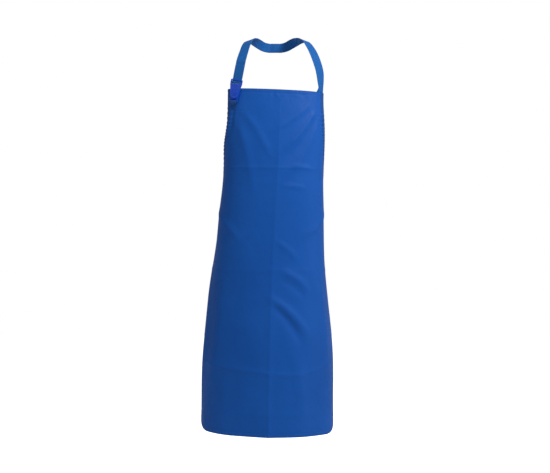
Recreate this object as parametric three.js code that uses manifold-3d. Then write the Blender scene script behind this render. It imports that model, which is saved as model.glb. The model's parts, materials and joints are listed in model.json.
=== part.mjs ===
// A bib welding apron in the shape it takes when it is worn, with a webbing neck strap, a webbing waist
// strap and a push-button plastic buckle on each. Millimetres, +Z up, +X towards the wearer's left and -Y to
// the front. The origin is the middle of the neck strap's inner face, at the nape.
import * as THREE from "three";
import { mergeVertices } from "three/addons/utils/BufferGeometryUtils.js";
import Module from "manifold-3d";

const wasm = await Module();
wasm.setup();

// ---- Driving dimensions ----

// Cloth, as it is cut.
const APRON_LENGTH = 1067; // bib edge to hem
const APRON_WIDTH = 610; // from the waist down, round the body
const BIB_WIDTH = 322;
const ARMHOLE_DEPTH = 300; // bib edge down to the waist corner
const HEM_CORNER = 100; // radius of the two bottom corners
const CLOTH = 1.0; // thickness
const BIB_TILT = 13; // how much lower the bib's fixed corner hangs than its buckled one
const GAP = 0.3; // left between faces that touch
const SLACK = 1.0; // left between the cloth and what is folded round it or sewn inside it

// Edge tape and the doubled cloth behind each strap end.
const TAPE_WIDTH = 12;
const TAPE = 0.8;
const PATCH = 1.0;
const BIB_PATCH = { width: 58, height: 60, inset: 6 };
const WAIST_PATCH = { width: 62, height: 44, inset: 16 };
const LABEL = { width: 45, height: 32, thickness: 0.6, drop: 16 };

// Webbing.
const WEBBING = 30; // width of the neck and waist straps
const TAB = 20; // width of the tab that holds the neck buckle
const WEB = 1.5; // thickness
const SEWN = 48; // length of strap sewn to the cloth
const TAIL = 45; // length of the loose end behind a ladder
const TAB_END = -54; // v of the lower end of the neck buckle's tab

// Buckle, in its own plane: u across, v along the strap towards the ladder, w out from the wearer.
const RUN = 0.3; // clearance round the button and behind the sliding frame
const BASE = { half: 12.8, top: 13, bottom: -30, thickness: 6.4, corner: 6 };
const WINDOW = { half: 9.4, top: 8, bottom: -27 };
const BAR = { v: -38, height: 3, w: 1.6, thickness: 3.2, slot: 3.8, side: 3.4 };
const BUTTON = { v: -13, radius: 8.5, height: 5.2, arm: 4.5, leaf: 2 };
const FRAME = { half: 19, top: 31, shoulder: 16, round: 13.2, roundV: -15, thickness: 3, corner: 3 };
const LADDER = { top: 4, slot: 3.4, bar: 3.2, lower: WEB + 4 * RUN }; // downwards: bar, slot, bar, slot
const SMALL_CORNER = 0.8; // of slots, the button's leaf and the rails
const WINDOW_CORNER = 2; // of the window and of the plate round the bar
const RAIL = { width: 2, low: 2, high: 14, depth: 3.6 }; // guides on the back of the frame
const STRAIGHT = 80; // v where the webbing leaves the plane of the buckle
const LEAD = 12; // of a strap beyond the plane's edge, or beyond the cloth, before it turns
const SPLICE = 2; // how far two lengths of the same strap run into each other
const ROUTE_STEPS = 5; // facets of a strap from one stop of its route to the next

// Neck buckle on the wearer's right corner of the bib. turn is from the way that the cloth faces there.
const NECK_BUCKLE = { inset: 39, drop: 4, stand: 1.7, turn: 8.47, back: 5, roll: 10 };
// Waist straps, and the waist buckle in the small of the back.
const WAIST_STRAP_BELOW = 3; // from the end of the armhole tape to the strap
const WAIST_STRAP_DROP = ARMHOLE_DEPTH + TAPE_WIDTH + WEBBING / 2 + WAIST_STRAP_BELOW; // to its middle
const WAIST_BUCKLE_STAND = 1.2;
const WAIST_BEND = { lead: 6, radius: 30, turn: 45 }; // of a waist strap, out of the plane of its buckle

// Levels of the body under the cloth, from the bib edge (0) to the hem (1): half breadth, half depth, how
// square the section is (2 is an ellipse), the front line's Y and how far the body leans towards +X.
const FORM = [
  { at: 0.0, breadth: 168, depth: 92, square: 2.8, front: -184, lean: 0 },
  { at: 0.1, breadth: 165, depth: 98, square: 2.7, front: -193, lean: -1 },
  { at: 0.22, breadth: 157, depth: 106, square: 2.5, front: -198, lean: -4 },
  { at: 0.37, breadth: 167, depth: 118, square: 2.4, front: -200, lean: -12 },
  { at: 0.5, breadth: 175, depth: 130, square: 2.3, front: -203, lean: -18 },
  { at: 0.61, breadth: 189, depth: 142, square: 2.25, front: -207, lean: -22 },
  { at: 0.78, breadth: 206, depth: 158, square: 2.2, front: -214, lean: -24 },
  { at: 1.0, breadth: 214, depth: 172, square: 2.2, front: -220, lean: -26 },
];

// Neck strap over the shoulders, from the buckle round the nape to the fixed corner, measured from the
// middle of the bib edge. Each place is on the inner face, and out is the way that the face's back looks.
const NAPE = 163; // height of the nape over the bib edge
const NECK_ROUTE = [
  { place: [-97, -157, 121], out: [-0.3, -0.85, 0.4] },
  { place: [-89, -131, 150], out: [-0.3, -0.6, 0.7] },
  { place: [-80, -98, NAPE + 6], out: [-0.35, -0.25, 0.9] },
  { place: [-69, -64, NAPE + 11], out: [-0.45, 0.2, 0.87] },
  { place: [-54, -32, NAPE + 8], out: [-0.5, 0.65, 0.5] },
  { place: [-36, -10, NAPE + 2], out: [-0.3, 0.9, 0.15] },
  { place: [-18, 0, NAPE], out: [0, 1, 0] },
  { place: [-6, 0, NAPE], out: [0, 1, 0] },
  { place: [6, 0, NAPE], out: [0, 1, 0] },
  { place: [18, 0, NAPE], out: [0, 1, 0] },
  { place: [36, -10, NAPE + 2], out: [0.3, 0.9, 0.15] },
  { place: [55, -32, NAPE + 8], out: [0.5, 0.65, 0.5] },
  { place: [75, -64, NAPE + 11], out: [0.45, 0.2, 0.87] },
  { place: [94, -97, NAPE + 5], out: [0.4, -0.3, 0.87] },
  { place: [112, -124, 140], out: [0.4, -0.6, 0.7] },
  { place: [127, -141, 104], out: [0.45, -0.8, 0.38] },
  { place: [139, -149, 62], out: [0.56, -0.81, 0.15] },
  { place: [142, -150, 28], out: [0.72, -0.69, 0] },
];

// Facets of the cloth.
const COLUMNS = 38;
const ARMHOLE_STEPS = 26;
const SKIRT_STEPS = 14;
const CORNER_STEPS = 5;
const PATCH_STEPS = 6;
const CURVE_STEPS = 6; // of a quarter of a moulded corner

// ---- Materials ----

const cloth = new THREE.MeshStandardMaterial({ color: 0x1f57a4, roughness: 0.55 });
const clothBack = new THREE.MeshStandardMaterial({ color: 0x1b4a90, roughness: 0.7 });
const tape = new THREE.MeshStandardMaterial({ color: 0x1c4c98, roughness: 0.75 });
const webbing = new THREE.MeshStandardMaterial({ color: 0x2c69b8, roughness: 0.8 });
const plastic = new THREE.MeshStandardMaterial({ color: 0x2148a4, roughness: 0.35 });
const label = new THREE.MeshStandardMaterial({ color: 0xe8e8e4, roughness: 0.8 });

// ---- Solids ----

function toSolid(geometry) {
  const bare = geometry.index ? geometry.toNonIndexed() : geometry.clone();
  bare.deleteAttribute("normal");
  bare.deleteAttribute("uv");
  const merged = mergeVertices(bare, 1e-3);
  return new wasm.Manifold(
    new wasm.Mesh({
      numProp: 3,
      vertProperties: merged.attributes.position.array,
      triVerts: new Uint32Array(merged.index.array),
    }),
  );
}

function toGeometry(solid) {
  const mesh = solid.getMesh();
  const geometry = new THREE.BufferGeometry();
  geometry.setAttribute("position", new THREE.BufferAttribute(mesh.vertProperties, 3));
  geometry.setIndex(new THREE.BufferAttribute(mesh.triVerts, 1));
  geometry.computeVertexNormals();
  return geometry;
}

function joined(...geometries) {
  return toGeometry(geometries.map(toSolid).reduce((whole, piece) => whole.add(piece)));
}

function named(name, geometry, material) {
  const mesh = new THREE.Mesh(geometry, material);
  mesh.name = name;
  return mesh;
}

// A closed skin over rings of points, all with one count. caps are the triangles that close each end, with
// their corners in the order of the ring.
function skin(rings, caps) {
  const count = rings[0].length;
  const triangles = [];
  for (let i = 0; i + 1 < rings.length; i++)
    for (let j = 0; j < count; j++) {
      const [a, b] = [i * count + j, i * count + ((j + 1) % count)];
      triangles.push(a, b, b + count, a, b + count, a + count);
    }
  const last = (rings.length - 1) * count;
  for (const [a, b, c] of caps) triangles.push(c, b, a, last + a, last + b, last + c);
  const geometry = new THREE.BufferGeometry().setFromPoints(rings.flat());
  geometry.setIndex(triangles);
  const solid = toSolid(geometry);
  if (solid.volume() > 0) return toGeometry(solid);
  geometry.setIndex(triangles.reverse());
  return toGeometry(toSolid(geometry));
}

// A thin closed sheet: place(u, v, side) puts each point of its two faces, with u and v from 0 to 1.
function sheet(columns, rows, place) {
  const rings = [];
  for (let j = 0; j <= rows; j++) {
    const front = [];
    const back = [];
    for (let i = 0; i <= columns; i++) {
      front.push(place(i / columns, j / rows, 1));
      back.unshift(place(i / columns, j / rows, 0));
    }
    rings.push([...front, ...back]);
  }
  const caps = [];
  const last = 2 * columns + 1;
  for (let i = 0; i < columns; i++) caps.push([i, i + 1, last - i], [i + 1, last - i - 1, last - i]);
  return skin(rings, caps);
}

// Flat webbing along a route of stops: place is the middle of its inner face, out is the face's back.
function ribbon(stops, width, thickness, stepsPerStop) {
  const path = new THREE.CatmullRomCurve3(stops.map((stop) => stop.place));
  const facing = new THREE.CatmullRomCurve3(stops.map((stop) => stop.out));
  const steps = (stops.length - 1) * stepsPerStop;
  const rings = [];
  for (let i = 0; i <= steps; i++) {
    const inner = path.getPoint(i / steps);
    const along = path.getTangent(i / steps);
    const out = facing.getPoint(i / steps).projectOnPlane(along).normalize();
    const across = new THREE.Vector3().crossVectors(along, out).multiplyScalar(width / 2);
    const outer = inner.clone().addScaledVector(out, thickness);
    rings.push([
      inner.clone().sub(across),
      inner.clone().add(across),
      outer.clone().add(across),
      outer.clone().sub(across),
    ]);
  }
  return skin(rings, [
    [0, 1, 2],
    [0, 2, 3],
  ]);
}

// ---- The body that the cloth lies on ----

const levels = new THREE.CubicInterpolant(
  FORM.map((level) => level.at),
  FORM.flatMap((level) => [level.breadth, level.depth, level.square, level.front, level.lean]),
  5,
);

// One level's outline, from the middle of the back round the wearer's right side, the front and the left.
class BodySection extends THREE.Curve {
  constructor(share) {
    super();
    this.arcLengthDivisions = 720;
    [this.breadth, this.depth, this.square, this.front, this.lean] = levels.evaluate(share);
  }
  getPoint(u, target = new THREE.Vector3()) {
    const angle = (u - 0.5) * 2 * Math.PI;
    const [side, ahead] = [Math.sin(angle), Math.cos(angle)];
    const reach =
      Math.abs(side / this.breadth) ** this.square + Math.abs(ahead / this.depth) ** this.square;
    const radius = reach ** (-1 / this.square);
    return target.set(this.lean + radius * side, this.front + this.depth - radius * ahead, 0);
  }
}

const sections = new Map();
function sectionAt(drop) {
  const share = THREE.MathUtils.clamp(drop / APRON_LENGTH, 0, 1);
  if (!sections.has(share)) sections.set(share, new BodySection(share));
  return sections.get(share);
}

// A place on the body: s round from the front line and drop down from the bib edge.
function onBody(s, drop) {
  const section = sectionAt(drop);
  const place = section.getPointAt(THREE.MathUtils.euclideanModulo(0.5 + s / section.getLength(), 1));
  const fade = Math.max(0, 1 - drop / ARMHOLE_DEPTH) ** 2;
  place.z = -drop - ((BIB_TILT * s) / BIB_WIDTH) * fade;
  return place;
}

// The way straight out of the body there.
function outAt(s, drop) {
  const round = onBody(s + 1, drop).sub(onBody(s - 1, drop));
  const down = onBody(s, drop + 1).sub(onBody(s, drop - 1));
  return down.cross(round).normalize();
}

// A place on the worn cloth, this far out from the body.
function drape(s, drop, out) {
  return onBody(s, drop).addScaledVector(outAt(s, drop), out);
}

// ---- Cloth ----

// Half the width of the cut cloth at this drop: a straight bib, an armhole that is a quarter of an ellipse,
// a straight skirt and two round corners.
function halfWidth(drop) {
  const [bib, full] = [BIB_WIDTH / 2, APRON_WIDTH / 2];
  if (drop < ARMHOLE_DEPTH) {
    const share = drop / ARMHOLE_DEPTH;
    return full - (full - bib) * Math.sqrt(1 - share * share);
  }
  const rise = Math.max(0, drop - (APRON_LENGTH - HEM_CORNER));
  return full - HEM_CORNER + Math.sqrt(HEM_CORNER ** 2 - rise ** 2);
}

// Steps from one drop to another, closer together towards the second, where the outline turns.
function turningSteps(from, to, count) {
  const drops = [];
  for (let i = 0; i <= count; i++)
    drops.push(THREE.MathUtils.lerp(from, to, Math.sin((i / count) * (Math.PI / 2))));
  return drops;
}

const ARMHOLE_ROWS = turningSteps(0, ARMHOLE_DEPTH, ARMHOLE_STEPS);

// Drops of the cloth's rows.
function clothRows() {
  const corner = APRON_LENGTH - HEM_CORNER;
  const skirt = [];
  for (let i = 1; i < SKIRT_STEPS; i++)
    skirt.push(THREE.MathUtils.lerp(ARMHOLE_DEPTH, corner, i / SKIRT_STEPS));
  return [...ARMHOLE_ROWS, ...skirt, ...turningSteps(corner, APRON_LENGTH, CORNER_STEPS)];
}

function apronPanel() {
  const drops = clothRows();
  const geometry = sheet(COLUMNS, drops.length - 1, (u, v, side) => {
    const drop = drops[Math.round(v * (drops.length - 1))];
    return drape((2 * u - 1) * halfWidth(drop), drop, side * CLOTH);
  });
  return named("apron_panel", geometry, cloth);
}

// Tape folded over an armhole edge: its section is a U round the cloth, q in from the edge and o outwards.
function armholeTape(name, sign) {
  const [inner, outer] = [-SLACK, CLOTH + SLACK];
  const profile = [
    [TAPE_WIDTH, outer + TAPE],
    [-SLACK - TAPE, outer + TAPE],
    [-SLACK - TAPE, inner - TAPE],
    [TAPE_WIDTH, inner - TAPE],
    [TAPE_WIDTH, inner],
    [-SLACK, inner],
    [-SLACK, outer],
    [TAPE_WIDTH, outer],
  ];
  const rings = ARMHOLE_ROWS.slice(0, -2).map((drop) => {
    const s = halfWidth(drop);
    const inward = new THREE.Vector2(-1, halfWidth(drop + 0.5) - halfWidth(drop - 0.5)).normalize();
    return profile.map(([q, o]) => drape(sign * (s + q * inward.x), drop + q * inward.y, o));
  });
  const caps = [
    [0, 1, 6],
    [0, 6, 7],
    [1, 2, 5],
    [1, 5, 6],
    [2, 3, 4],
    [2, 4, 5],
  ];
  return named(name, skin(rings, caps), tape);
}

// A doubled square of cloth inside the panel, from s0 to s1 round and from high to low down.
function patch(name, s0, s1, high, low) {
  const geometry = sheet(PATCH_STEPS, PATCH_STEPS, (u, v, side) =>
    drape(
      THREE.MathUtils.lerp(s0, s1, u),
      THREE.MathUtils.lerp(high, low, v),
      -SLACK - (1 - side) * PATCH,
    ),
  );
  return named(name, geometry, clothBack);
}

function bibPatch(name, sign) {
  const edge = BIB_WIDTH / 2 - TAPE_WIDTH - 2 * GAP;
  const { width, height, inset } = BIB_PATCH;
  return patch(name, sign * edge, sign * (edge - width), inset, inset + height);
}

function waistPatch(name, sign) {
  const edge = APRON_WIDTH / 2 - WAIST_PATCH.inset;
  const high = ARMHOLE_DEPTH + TAPE_WIDTH + SLACK;
  return patch(name, sign * edge, sign * (edge - WAIST_PATCH.width), high, high + WAIST_PATCH.height);
}

function careLabel() {
  const { width, height, thickness, drop } = LABEL;
  const geometry = sheet(PATCH_STEPS, PATCH_STEPS, (u, v, side) =>
    drape((u - 0.5) * width, drop + v * height, -SLACK - (1 - side) * thickness),
  );
  return named("care_label", geometry, label);
}

// ---- Buckle, built in its own plane ----

const U = new THREE.Vector3(1, 0, 0);
const FRAME_W = BASE.thickness + RUN; // back face of the sliding frame
const LADDER_BAR_TOP = FRAME.top - LADDER.top - LADDER.slot;
const LADDER_BAR_LOW = LADDER_BAR_TOP - LADDER.bar;

function roundedBox(half, low, high, corner) {
  const shape = new THREE.Shape();
  shape.moveTo(-half + corner, low);
  shape.lineTo(half - corner, low);
  shape.absarc(half - corner, low + corner, corner, -Math.PI / 2, 0);
  shape.lineTo(half, high - corner);
  shape.absarc(half - corner, high - corner, corner, 0, Math.PI / 2);
  shape.lineTo(-half + corner, high);
  shape.absarc(-half + corner, high - corner, corner, Math.PI / 2, Math.PI);
  shape.lineTo(-half, low + corner);
  shape.absarc(-half + corner, low + corner, corner, Math.PI, 1.5 * Math.PI);
  return shape;
}

function plate(shape, w, thickness) {
  const geometry = new THREE.ExtrudeGeometry(shape, {
    depth: thickness,
    bevelEnabled: false,
    curveSegments: CURVE_STEPS,
  });
  return geometry.translate(0, 0, w);
}

function buckleBase(name, webbingWidth) {
  const body = roundedBox(BASE.half, BASE.bottom, BASE.top, BASE.corner);
  body.holes.push(roundedBox(WINDOW.half, WINDOW.bottom, WINDOW.top, WINDOW_CORNER));
  const end = roundedBox(webbingWidth / 2 + BAR.side, BAR.v, BASE.bottom + SPLICE, WINDOW_CORNER);
  const slotLow = BAR.v + BAR.height;
  const slotHalf = webbingWidth / 2 + 2 * RUN;
  end.holes.push(roundedBox(slotHalf, slotLow, slotLow + BAR.slot, SMALL_CORNER));
  const geometry = joined(plate(body, 0, BASE.thickness), plate(end, BAR.w, BAR.thickness));
  return named(name, geometry, plastic);
}

function buckleButton(name) {
  const root = WINDOW.bottom + RUN;
  const leaf = roundedBox(BUTTON.arm, root, BUTTON.v, SMALL_CORNER);
  const disc = new THREE.Shape().absarc(0, BUTTON.v, BUTTON.radius, 0, 2 * Math.PI);
  const w = BASE.thickness - BUTTON.leaf - RUN;
  const geometry = joined(plate(leaf, w, BUTTON.leaf), plate(disc, w, BUTTON.height));
  return named(name, geometry, plastic);
}

function buckleFrame(name) {
  const { half, top, shoulder, round, roundV, thickness, corner } = FRAME;
  const reach = Math.hypot(half, shoulder - roundV);
  const tangent = Math.atan2(shoulder - roundV, half) - Math.acos(round / reach);
  const outline = new THREE.Shape();
  outline.moveTo(-half + corner, top);
  outline.lineTo(half - corner, top);
  outline.absarc(half - corner, top - corner, corner, Math.PI / 2, 0, true);
  outline.lineTo(half, shoulder);
  outline.absarc(0, roundV, round, tangent, Math.PI - tangent, true);
  outline.lineTo(-half, shoulder);
  outline.lineTo(-half, top - corner);
  outline.absarc(-half + corner, top - corner, corner, Math.PI, Math.PI / 2, true);
  const slotHalf = WEBBING / 2 + 2 * RUN;
  for (const [low, high] of [
    [LADDER_BAR_TOP, LADDER_BAR_TOP + LADDER.slot],
    [LADDER_BAR_LOW - LADDER.lower, LADDER_BAR_LOW],
  ])
    outline.holes.push(roundedBox(slotHalf, low, high, SMALL_CORNER));
  outline.holes.push(new THREE.Path().absarc(0, BUTTON.v, BUTTON.radius + 2 * RUN, 0, 2 * Math.PI));
  const pieces = [plate(outline, FRAME_W, thickness)];
  for (const sign of [-1, 1]) {
    const middle = sign * (BASE.half + RUN + RAIL.width / 2);
    const rail = roundedBox(RAIL.width / 2, RAIL.low, RAIL.high, SMALL_CORNER);
    pieces.push(plate(rail, FRAME_W - RAIL.depth, RAIL.depth + SPLICE).translate(middle, 0, 0));
  }
  return named(name, joined(...pieces), plastic);
}

// Webbing round a bar, seen along the bar and then drawn out to its width.
function foldedWebbing(outline, hole, width) {
  const shape = new THREE.Shape(outline.map(([v, w]) => new THREE.Vector2(v, w)));
  shape.holes.push(new THREE.Path(hole.map(([v, w]) => new THREE.Vector2(v, w))));
  const geometry = new THREE.ExtrudeGeometry(shape, { depth: width, bevelEnabled: false });
  const turn = new THREE.Matrix4().makeBasis(
    new THREE.Vector3(0, 1, 0),
    new THREE.Vector3(0, 0, 1),
    new THREE.Vector3(1, 0, 0),
  );
  return geometry.applyMatrix4(turn).translate(-width / 2, 0, 0);
}

function around(low, high, back, front) {
  return [
    [low, back],
    [high, back],
    [high, front],
    [low, front],
  ];
}

const STRAND_W = FRAME_W - RUN - 2 * WEB; // inner face of the webbing behind the ladder

// The strap behind the ladder, round its bar, and the loose end that comes back behind the top bar.
function ladderWebbing() {
  const face = FRAME_W + FRAME.thickness;
  const hole = around(LADDER_BAR_LOW - RUN, LADDER_BAR_TOP + RUN, FRAME_W - RUN, face + RUN);
  const [low, high] = [hole[0][0] - WEB, hole[1][0] + WEB];
  const front = hole[2][1] + WEB;
  const outline = [
    [low, STRAND_W],
    [STRAIGHT - GAP, STRAND_W],
    [STRAIGHT - GAP, STRAND_W + WEB],
    [FRAME.top + TAIL, STRAND_W + WEB],
    [FRAME.top + TAIL, STRAND_W + 2 * WEB],
    [high, STRAND_W + 2 * WEB],
    [high, front],
    [low, front],
  ];
  return foldedWebbing(outline, hole, WEBBING);
}

// Webbing folded round the base's bar and sewn to itself, down to end. level is where its inner face lies.
function barWebbing(width, level, end) {
  const hole = around(BAR.v - RUN, BAR.v + BAR.height + RUN, BAR.w - RUN, BAR.w + BAR.thickness + RUN);
  const [low, high] = [hole[0][0] - WEB, hole[1][0] + WEB];
  const [back, front] = [hole[0][1] - WEB, hole[2][1] + WEB];
  const outline = [
    [end, level],
    [low, Math.min(level, back)],
    [high, back],
    [high, front],
    [low, front],
    [low - 2 * WEB, level + 2 * WEB],
    [end, level + 2 * WEB],
  ];
  return foldedWebbing(outline, hole, width);
}

// ---- Where the two buckles sit ----

function neckPlacement() {
  const { inset, drop, stand, turn, back, roll } = NECK_BUCKLE;
  const s = inset - BIB_WIDTH / 2;
  const place = drape(s, drop, CLOTH + stand);
  const out = outAt(s, drop);
  const faceFront = new THREE.Matrix4().makeBasis(
    U,
    new THREE.Vector3(0, 0, 1),
    new THREE.Vector3(0, -1, 0),
  );
  const { degToRad } = THREE.MathUtils;
  return new THREE.Matrix4()
    .makeTranslation(place)
    .multiply(new THREE.Matrix4().makeRotationZ(Math.atan2(out.x, -out.y) + degToRad(turn)))
    .multiply(new THREE.Matrix4().makeRotationX(degToRad(-back)))
    .multiply(new THREE.Matrix4().makeRotationY(degToRad(roll)))
    .multiply(faceFront);
}

function waistPlacement() {
  const section = sectionAt(WAIST_STRAP_DROP);
  const place = drape(section.getLength() / 2, WAIST_STRAP_DROP, WAIST_BUCKLE_STAND);
  return new THREE.Matrix4()
    .makeBasis(new THREE.Vector3(0, 0, -1), new THREE.Vector3(-1, 0, 0), new THREE.Vector3(0, 1, 0))
    .setPosition(place);
}

const neckPlace = neckPlacement();
const waistPlace = waistPlacement();

// A stop on a strap's route that lies in a buckle's plane.
function stopInPlane(placement, v, w) {
  return {
    place: new THREE.Vector3(0, v, w).applyMatrix4(placement),
    out: new THREE.Vector3(0, 0, 1).transformDirection(placement),
  };
}

function placed(mesh, placement) {
  mesh.applyMatrix4(placement);
  return mesh;
}

// ---- Straps ----

const INSIDE = -2 * SLACK - PATCH - WEB; // inner face of a strap that is sewn inside a patch

const CROWN = 1.7; // how far the cloth bends away from flat webbing across the bib's corner

function stopOnCloth(s, drop, out) {
  return { place: drape(s, drop, out), out: outAt(s, drop) };
}

function neckStops() {
  const open = NECK_ROUTE.map(({ place, out }) => ({
    place: new THREE.Vector3(...place),
    out: new THREE.Vector3(...out).normalize(),
  }));
  const s = BIB_WIDTH / 2 - WEBBING / 2 - 2 * GAP;
  return [
    stopInPlane(neckPlace, STRAIGHT, STRAND_W),
    stopInPlane(neckPlace, STRAIGHT + LEAD, STRAND_W),
    ...open,
    stopOnCloth(s, -4, INSIDE - CROWN),
    stopOnCloth(s, SEWN / 2, INSIDE - CROWN),
    stopOnCloth(s, SEWN, INSIDE - CROWN),
  ];
}

// The waist strap's stops from inside its patch round the side to the plane of the waist buckle.
function waistStops(sign, planeV, planeW) {
  const edge = APRON_WIDTH / 2 - WAIST_PATCH.inset;
  const stops = [edge - SEWN, edge - SEWN / 2, edge, edge + LEAD].map((s) =>
    stopOnCloth(sign * s, WAIST_STRAP_DROP, INSIDE),
  );
  const { lead, radius, turn } = WAIST_BEND;
  const away = Math.sign(planeV);
  for (const degrees of [turn, turn / 2, 0]) {
    const [side, ahead] = [Math.sin, Math.cos].map((f) => f(THREE.MathUtils.degToRad(degrees)));
    const v = planeV + away * (lead + radius * side);
    const w = planeW - radius * (1 - ahead);
    stops.push({
      place: new THREE.Vector3(0, v, w).applyMatrix4(waistPlace),
      out: new THREE.Vector3(0, away * side, ahead).transformDirection(waistPlace),
    });
  }
  stops.push(stopInPlane(waistPlace, planeV, planeW));
  return stops;
}

function strap(stops) {
  return ribbon(stops, WEBBING, WEB, ROUTE_STEPS);
}

function neckStrap() {
  return named("neck_strap", strap(neckStops()), webbing);
}

function waistStrapLeft() {
  const run = strap(waistStops(1, SPLICE - STRAIGHT, BAR.w));
  const fold = barWebbing(WEBBING, BAR.w, -STRAIGHT).applyMatrix4(waistPlace);
  return named("waist_strap_left", joined(run, fold), webbing);
}

function waistStrapRight() {
  return named("waist_strap_right", strap(waistStops(-1, STRAIGHT, STRAND_W)), webbing);
}

// ---- The apron ----

const apron = new THREE.Group();
apron.add(
  apronPanel(),
  armholeTape("armhole_tape_right", -1),
  armholeTape("armhole_tape_left", 1),
  bibPatch("bib_patch_right", -1),
  bibPatch("bib_patch_left", 1),
  waistPatch("waist_patch_right", -1),
  waistPatch("waist_patch_left", 1),
  careLabel(),
  neckStrap(),
  waistStrapLeft(),
  waistStrapRight(),
  placed(named("neck_buckle_tab", barWebbing(TAB, 0, TAB_END), webbing), neckPlace),
  placed(buckleBase("neck_buckle_base", TAB), neckPlace),
  placed(buckleButton("neck_buckle_button"), neckPlace),
  placed(buckleFrame("neck_buckle_frame"), neckPlace),
  placed(named("neck_strap_end", ladderWebbing(), webbing), neckPlace),
  placed(buckleBase("waist_buckle_base", WEBBING), waistPlace),
  placed(buckleButton("waist_buckle_button"), waistPlace),
  placed(buckleFrame("waist_buckle_frame"), waistPlace),
  placed(named("waist_strap_end", ladderWebbing(), webbing), waistPlace),
);
apron.position.set(0, 0, -NAPE);

export default apron;
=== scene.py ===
"""A bib welding apron as it is worn: coated cloth, taped armholes, webbing straps and push-button buckles.

Metres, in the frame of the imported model: +Z up, +X towards the wearer's left, -Y to the front. A place on the
cloth is (s, drop): s round from the front line of the form, and drop down from the bib edge."""

import json
import math

import bpy
import numpy as np
from mathutils import Matrix, Vector


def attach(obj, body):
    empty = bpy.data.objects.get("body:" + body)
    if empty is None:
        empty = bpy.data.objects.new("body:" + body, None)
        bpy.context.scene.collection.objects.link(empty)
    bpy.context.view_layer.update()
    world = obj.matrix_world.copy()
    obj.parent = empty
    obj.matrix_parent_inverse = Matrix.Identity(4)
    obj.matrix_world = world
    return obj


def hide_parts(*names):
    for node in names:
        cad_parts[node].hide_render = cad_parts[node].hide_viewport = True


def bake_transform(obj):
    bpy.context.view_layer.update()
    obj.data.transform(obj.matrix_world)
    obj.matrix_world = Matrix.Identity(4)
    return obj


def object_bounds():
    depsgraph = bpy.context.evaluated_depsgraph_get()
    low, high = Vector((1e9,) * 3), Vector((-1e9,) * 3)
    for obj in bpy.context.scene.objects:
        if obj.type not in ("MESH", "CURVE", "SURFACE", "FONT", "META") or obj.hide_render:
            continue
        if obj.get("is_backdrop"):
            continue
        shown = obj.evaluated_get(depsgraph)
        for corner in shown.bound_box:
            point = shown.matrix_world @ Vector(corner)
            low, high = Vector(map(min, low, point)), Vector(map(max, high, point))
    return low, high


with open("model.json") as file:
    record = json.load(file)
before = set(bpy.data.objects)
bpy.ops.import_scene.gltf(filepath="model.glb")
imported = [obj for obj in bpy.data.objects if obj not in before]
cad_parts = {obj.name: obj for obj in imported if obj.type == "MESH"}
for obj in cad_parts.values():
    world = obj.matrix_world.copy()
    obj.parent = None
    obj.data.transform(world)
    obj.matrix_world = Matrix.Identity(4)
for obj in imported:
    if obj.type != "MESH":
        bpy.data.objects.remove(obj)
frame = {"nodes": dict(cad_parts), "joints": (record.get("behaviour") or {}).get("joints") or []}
cad_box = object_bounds()
bpy.ops.object.select_all(action="DESELECT")

# ---- Sizes, as the cloth and webbing are cut ----

MM = 0.001
APRON_LENGTH = 1.067
APRON_WIDTH = 0.610
BIB_WIDTH = 0.322
ARMHOLE_DEPTH = 0.300
HEM_CORNER = 0.100
BIB_TILT = 0.013  # how much lower the bib edge hangs at its left end than at its right one
HEM_TILT = 0.022  # how steeply the hem hangs lower towards the wearer's left
NAPE = 0.163  # how far the bib edge lies below the nape
CLOTH = 0.8 * MM
CLOTH_FACE = 1.0 * MM  # the front face of the cloth lies this far out from the wearer

TOP_HEM = 0.013
SIDE_HEM = 0.011
TAPE_WIDTH = 0.012
BINDING = 0.6 * MM  # thickness of a tape and of a turned hem
HEM_INSET = 1.5 * MM  # from a hem's inner edge to its stitching
TAPE_INSET = 2 * MM

WEBBING = 0.030
WEB = 1.4 * MM
WEB_EDGE = 0.3 * MM  # rounding of the webbing's edges
SEWN = 0.048  # length of a strap's end behind its patch
LOOP = 0.020  # width of the neck buckle's loop
LOOP_END = -54  # v, in millimetres, of the loop's lower end

BIB_PATCH = (0.058, 0.060)
WAIST_PATCH = (0.062, 0.044)
LABEL = (0.045, 0.032)
LABEL_TOP = 0.010
PATCH_CLOTH, LABEL_CLOTH, PATCH_ROUNDING = 0.7 * MM, 0.5 * MM, 0.15 * MM
PATCH_OUT, LABEL_OUT = -0.6 * MM, -1.2 * MM  # middles of their thickness; below nought is inside the cloth
WAIST_STRAP_DROP = ARMHOLE_DEPTH + TAPE_WIDTH + WEBBING / 2 + 0.003
WAIST_PATCH_EDGE = APRON_WIDTH / 2 - 0.016
BIB_PATCH_EDGE = BIB_WIDTH / 2 - TAPE_WIDTH - 0.001

PANEL_COLUMNS = (68, 70)  # on the wearer's right and left of the pressed centre line
BIB_ROWS, WAIST_ROWS, SKIRT_ROWS, CORNER_ROWS = 128, 30, 150, 26
CURVED_ROWS_FROM = 0.85  # share of the armhole's depth below which the rows follow its curve
ARMHOLE_STEPS, SIDE_STEPS, CORNER_STEPS, HALF_HEM_STEPS, TOP_STEPS = 230, 170, 28, 110, 170
TAPED = 0.955  # share of the armhole's quarter turn that the tape covers
PATCH_STEPS = 25
ROUTE_STEPS = 10  # places from one stop of a strap to the next

# ---- The wearer's form under the cloth ----

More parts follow.
